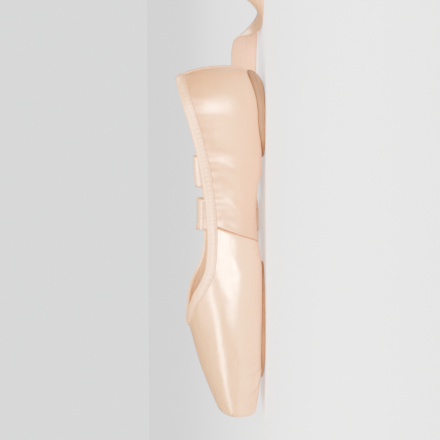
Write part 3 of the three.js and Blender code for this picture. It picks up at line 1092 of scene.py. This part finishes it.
# %% Even steps on a closed line
LOOP_STEPS = 840


def even_loop(points, count):
    """Evenly spaced points on a closed line."""
    closed = [*points, points[0]]
    lengths = running_lengths(closed)
    loop = []
    for k in range(count):
        distance = lengths[-1] * k / count
        i = min(bisect.bisect_right(lengths, distance) - 1, len(closed) - 2)
        part = (distance - lengths[i]) / max(lengths[i + 1] - lengths[i], 1e-12)
        loop.append(closed[i].lerp(closed[i + 1], part))
    return loop, lengths[-1]


def averaged(vectors, reach):
    """Each direction of a closed row, averaged with its neighbours."""
    round_again = vectors[-reach:] + vectors + vectors[:reach]
    return [sum(round_again[k:k + 2 * reach + 1], Vector()).normalized() for k in range(len(vectors))]


# %% The collar's edge as an even loop
closing = next(at / 10 for at in range(1600, 1730) if top(at / 10) <= collar(at / 10))
tip = Vector((closing, 0, BASE + top(closing)))
near_side = [skin(lerp(closing, HEEL_PIVOT, (k / 240) ** 2), 0, 1) for k in range(1, 241)]
near_side += [skin(HEEL_PIVOT, pi / 2 * k / 80, 1) for k in range(1, 81)]
far_side = [Vector((point.x, -point.y, point.z)) for point in reversed(near_side[:-1])]
collar_loop, collar_length = even_loop([place(point) for point in [tip, *near_side, *far_side]], LOOP_STEPS)
heading = averaged([collar_loop[(k + 2) % LOOP_STEPS] - collar_loop[k - 2] for k in range(LOOP_STEPS)], 4)
normals = averaged([outer_tree.find_nearest(point)[1] for point in collar_loop], 5)
outwards = [UP + Vector((0, point.y, 0)).normalized() for point in collar_loop]
normals = [normal if normal.dot(outward) > 0 else -normal for normal, outward in zip(normals, outwards)]
downs = [along.cross(normal).normalized() for along, normal in zip(heading, normals)]
print(f"the collar's edge is {collar_length / MM:.0f} mm round")

# %% Make the binding
BINDING_OUT = 6.0
BINDING_IN = 5.0
BINDING_LIFT = 0.5
BINDING_SEAM = 4.9
BINDING_CLOTH = 0.25
BEAD = 1.35
OUT_ROWS, TOP_ROWS, IN_ROWS = 11, 9, 8
BINDING_ROWS = OUT_ROWS + TOP_ROWS + IN_ROWS
PUCKER_LENGTH = 2.7


def station_at(k):
    """The distance along the collar at a step of its loop."""
    return k * collar_length / MM / LOOP_STEPS


def binding_gather(station):
    """The small folds across the binding, by the distance along the collar."""
    wave = 0.6 * sin(tau * station / PUCKER_LENGTH + 1.8 * sin(station * 0.19))
    return wave + 0.4 * noise.noise(Vector((station * 0.9, 0.3, 0.1)))


def lap(station):
    """The overlap of the binding's two ends at the throat."""
    return 0.5 * smooth(-4.6, -4.0, station) * (1 - smooth(3.2, 5.2, station))


def binding_out(k, down):
    """The outside of the binding at a step of the loop, down from the edge."""
    station = station_at(k if k < LOOP_STEPS / 2 else k - LOOP_STEPS)
    folded = 1 - smooth(BINDING_OUT - 0.7, BINDING_OUT, down)
    sewn = exp(-((down - BINDING_SEAM) / 0.55) ** 2)
    gather = binding_gather(station)
    lift = 0.15 + BINDING_LIFT * folded - 0.22 * sewn + 0.30 * sin(pi * min(down / BINDING_SEAM, 1))
    lift += 0.10 * gather * (0.5 + 0.5 * smooth(0, 4.5, down)) + lap(station) * folded
    # Painted shade: darker at the stitch line, below the fold and in the gathers' valleys.
    shade = 0.45 * sewn + 0.5 * (1 - folded) + 0.22 * max(-gather, 0)
    return lie_on(outer_tree, collar_loop[k] + downs[k] * down * MM, lift, normals[k]) + (min(shade, 1),)


def binding_in(k, down):
    guess = collar_loop[k] - normals[k] * EDGE_WALL * MM + downs[k] * down * MM
    return lie_on(inner_tree, guess, 0.4 + 0.08 * binding_gather(station_at(k) + 0.6), -normals[k])[0]


def binding_point(u, v):
    k = round(u * LOOP_STEPS) % LOOP_STEPS
    row = round(v * BINDING_ROWS)
    if row <= OUT_ROWS:
        point, _, shade = binding_out(k, BINDING_OUT * (1 - row / OUT_ROWS))
        return point, shade
    if row >= OUT_ROWS + TOP_ROWS:
        down = BINDING_IN * (row - OUT_ROWS - TOP_ROWS) / IN_ROWS
        # The inside of the binding is given a painted shade.
        return binding_in(k, down), 0.2
    outside, inside = binding_out(k, 0)[0], binding_in(k, 0)
    angle = pi * (row - OUT_ROWS) / TOP_ROWS
    bead = (BEAD + 0.10 * binding_gather(station_at(k))) * MM
    round_fold = (outside - inside) / 2 * cos(angle) - downs[k] * bead * sin(angle)
    return (outside + inside) / 2 + round_fold, 0.0


binding_bm = grid(LOOP_STEPS, BINDING_ROWS, binding_point, close=1e-6)
finish(binding_bm, "collar_binding", binding_satin, outward=(0, 1, 0), cloth=BINDING_CLOTH)

# %% [markdown]
# ## The strip up the back seam
#
# A narrow strip of satin covers the seam at the back of the heel, from under the heel patch to under the
# binding. It is a small grid laid on the plain last's search tree.

# %% Make the back strip
STRIP_WIDTH = 7.0
STRIP_ROWS = 14
STRIP_STEPS = 70
STRIP_SEAM = 0.74
STRIP_CLOTH = 0.2
back_length = section_lengths(HEEL_PIVOT, pi / 2)[-1]
strip_start = next(s / 200 for s in range(200) if skin(HEEL_PIVOT, pi / 2, s / 200).z > 10)
strip_end = 1 - (BINDING_OUT - 1.5) / back_length


def up_the_back(share, across, lift):
    """A point over the back seam and its normal: share goes up the strip, and across from -1 to 1."""
    base = skin(HEEL_PIVOT, pi / 2, lerp(strip_start, strip_end, share))
    base.y = across * STRIP_WIDTH / 2
    return lie_on(outer_tree, place(base), lift, BACKWARDS)


def strip_point(u, v):
    across = 2 * v - 1
    hem = smooth(0.80, 1.0, abs(across))
    sewn = exp(-((abs(across) - STRIP_SEAM) / 0.09) ** 2)
    lift = 0.62 * (1 - hem) + 0.08 - 0.16 * sewn + 0.06 * noise.noise(Vector((u * 22, across * 1.5, 0)))
    # Painted shade: darker on the turned hems and along the stitch lines.
    return up_the_back(u, across, lift)[0], 0.5 * hem + 0.35 * sewn


strip_bm = grid(STRIP_STEPS, STRIP_ROWS, strip_point)
finish(strip_bm, "back_strip", binding_satin, outward=BACKWARDS, cloth=STRIP_CLOTH)

# %% [markdown]
# ## The stitches
#
# Each stitch is a small rounded bead of thread, pressed into its cloth. One function lays them along a row
# of places, all joined into one mesh for each seam.


# %% Make the stitches
def make_stitches(name, places, length, width, thread=thread_cotton):
    """Stitches at places, each a point, the direction of the seam and the surface's normal."""
    bm = bmesh.new()
    bm.verts.layers.float.new("shade")
    for point, ahead, normal in places:
        ahead = ahead.normalized()
        across = normal.cross(ahead).normalized()
        axes = (ahead * length / 2, across * width / 2, ahead.cross(across) * width * 0.4)
        laid = Matrix([axis * MM for axis in axes]).transposed().to_4x4()
        laid.translation = point
        bmesh.ops.create_uvsphere(bm, u_segments=8, v_segments=5, radius=1.0, matrix=laid)
    finish(bm, name, thread)


# %% Stitch the binding and the strip
STRIP_STITCHES = 24
binding_seam = []
for k in range(0, LOOP_STEPS, 5):
    spot, normal, _ = binding_out(k, BINDING_SEAM)
    binding_seam.append((spot, heading[k], normal))
make_stitches("binding_stitches", binding_seam, 1.5, 0.34)

strip_seam = []
for side in (-STRIP_SEAM, STRIP_SEAM):
    for k in range(STRIP_STITCHES):
        spot, normal = up_the_back((k + 0.5) / STRIP_STITCHES, side, 0.48)
        strip_seam.append((spot, UP, normal))
make_stitches("strip_stitches", strip_seam, 1.3, 0.3)


# %% Stitch the patches
STITCH_SPACING = 3.0
CHANNEL_STEPS = 720


def patch_seam(patch):
    """Places round a patch, in its thread channel."""
    points = []
    for k in range(CHANNEL_STEPS):
        angle = tau * k / CHANNEL_STEPS
        x, y = patch_point(patch, 1 - CHANNEL_IN / patch_reach(patch, angle), angle)
        points.append(place(under(x, y, GAP + PATCH_THICKNESS - 0.3)))
    length = even_loop(points, CHANNEL_STEPS)[1]
    loop, _ = even_loop(points, 2 * round(length / MM / STITCH_SPACING / 2))
    return [(point, loop[(k + 1) % len(loop)] - loop[k - 1], DOWN) for k, point in enumerate(loop)]


make_stitches("forefoot_stitches", patch_seam(FOREFOOT), 2.0, 0.5, sole_thread)
make_stitches("heel_stitches", patch_seam(HEEL), 2.0, 0.5, sole_thread)

# %% Stitch the ribbons
# Two rows along the ribbon's first centimetres, and one across its end
SEWN_STEPS = 400
SEWN_SIDE = 0.82
ribbon_sewing = []
for route in (LEFT_RIBBON, RIGHT_RIBBON):
    frames = ribbon_frames(route, SEWN_STEPS)
    for k in range(8):
        here, across, facing = frames[1 + 2 * k]
        ahead = frames[k + 1][0] - frames[k][0]
        for side in (-SEWN_SIDE, SEWN_SIDE):
            ribbon_sewing.append(((here + across * side * RIBBON_WIDTH / 2) * MM, ahead, facing))
    here, across, facing = frames[1]
    for k in range(-4, 5):
        ribbon_sewing.append(((here + across * k * RIBBON_WIDTH / 10.5) * MM, across, facing))
make_stitches("ribbon_stitches", ribbon_sewing, 1.6, 0.9)

# %% [markdown]
# ## Floor and light
#
# Satin looks like satin only when bright and dim things are mirrored in it. So the room is dim for the shoe
# and bright for the camera. The light comes from a broad sun beside the shoe, a weaker one overhead, and a
# long narrow lamp that draws the highlight along the box. The floor is a pale sheet that glows a little.

# %% Make the floor and the room
ROOM_LIGHT = (0.55, 0.56, 0.58, 1.0)
OVERHEAD_LIGHT = (0.26, 0.265, 0.275, 1.0)
WALL_SEEN = (1.9, 1.92, 1.98, 1.0)

floor_bm = bmesh.new()
bmesh.ops.create_grid(floor_bm, x_segments=1, y_segments=1, size=6)
floor_mesh = bpy.data.meshes.new("floor")
floor_bm.to_mesh(floor_mesh)
floor_bm.free()
floor = bpy.data.objects.new("floor", floor_mesh)
bpy.context.collection.objects.link(floor)
paper = bpy.data.materials.new("studio paper")
paper.use_nodes = True
paper_shader = paper.node_tree.nodes["Principled BSDF"]
paper_shader.inputs["Base Color"].default_value = linear((240, 240, 242))
paper_shader.inputs["Roughness"].default_value = 0.7
paper_shader.inputs["Emission Color"].default_value = (1, 1, 1, 1)
paper_shader.inputs["Emission Strength"].default_value = 0.6
floor_mesh.materials.append(paper)

# Brightest at the horizon, as a lit wall is, and dimmer overhead
world = bpy.data.worlds.new("studio")
world.use_nodes = True
sky = world.node_tree
direction = add(sky, "TexCoord").outputs["Generated"]
upward = add(sky, "SeparateXYZ", {0: direction}).outputs["Z"]
height = add(sky, "MapRange", {0: upward, 1: 0.0, 2: 0.5})
room = add(sky, "Mix", {0: height, 6: ROOM_LIGHT, 7: OVERHEAD_LIGHT}, data_type="RGBA").outputs[2]
seen = add(sky, "LightPath").outputs["Is Camera Ray"]
room_or_wall = add(sky, "Mix", {0: seen, 6: room, 7: WALL_SEEN}, data_type="RGBA").outputs[2]
connect(sky, sky.nodes["Background"].inputs, {"Color": room_or_wall})
bpy.context.scene.world = world
print("the room's colour overhead:", OVERHEAD_LIGHT[:3])


# %% Make the lights
def lamp(name, kind, power, towards, colour):
    """A light that shines along a direction."""
    data = bpy.data.lights.new(name, kind)
    data.energy = power
    data.color = colour
    light = bpy.data.objects.new(name, data)
    light.rotation_euler = Vector(towards).to_track_quat("-Z", "Y").to_euler()
    bpy.context.collection.objects.link(light)
    return light


def soft_light(name, spot, size, power, colour):
    """A rectangular light at a place, in metres, turned to the shoe."""
    light = lamp(name, "AREA", power, Vector((0, 0, 0.03)) - Vector(spot), colour)
    light.location = spot
    light.data.shape = "RECTANGLE"
    light.data.size, light.data.size_y = size


def broad_sun(name, spot, power, spread):
    """A sun in the direction of a place, as wide as spread, in radians."""
    light = lamp(name, "SUN", power, -Vector(spot), (1.0, 0.985, 0.96))
    light.data.angle = spread


soft_light("key", (0.25, 0.72, 0.80), (1.7, 0.14), 36, (1.0, 0.97, 0.93))
soft_light("fill", (1.0, 0.9, 0.5), (0.7, 0.7), 1, (0.96, 0.98, 1.0))
soft_light("rim", (-0.7, -0.8, 0.7), (0.6, 0.6), 8, (1, 1, 1))
broad_sun("side_sun", (-0.25, 1.0, 0.14), 8.4, 0.4)
broad_sun("overhead_sun", (0.0, 0.15, 1.0), 1.7, 0.9)
print("lights:", [light.name for light in bpy.data.lights])
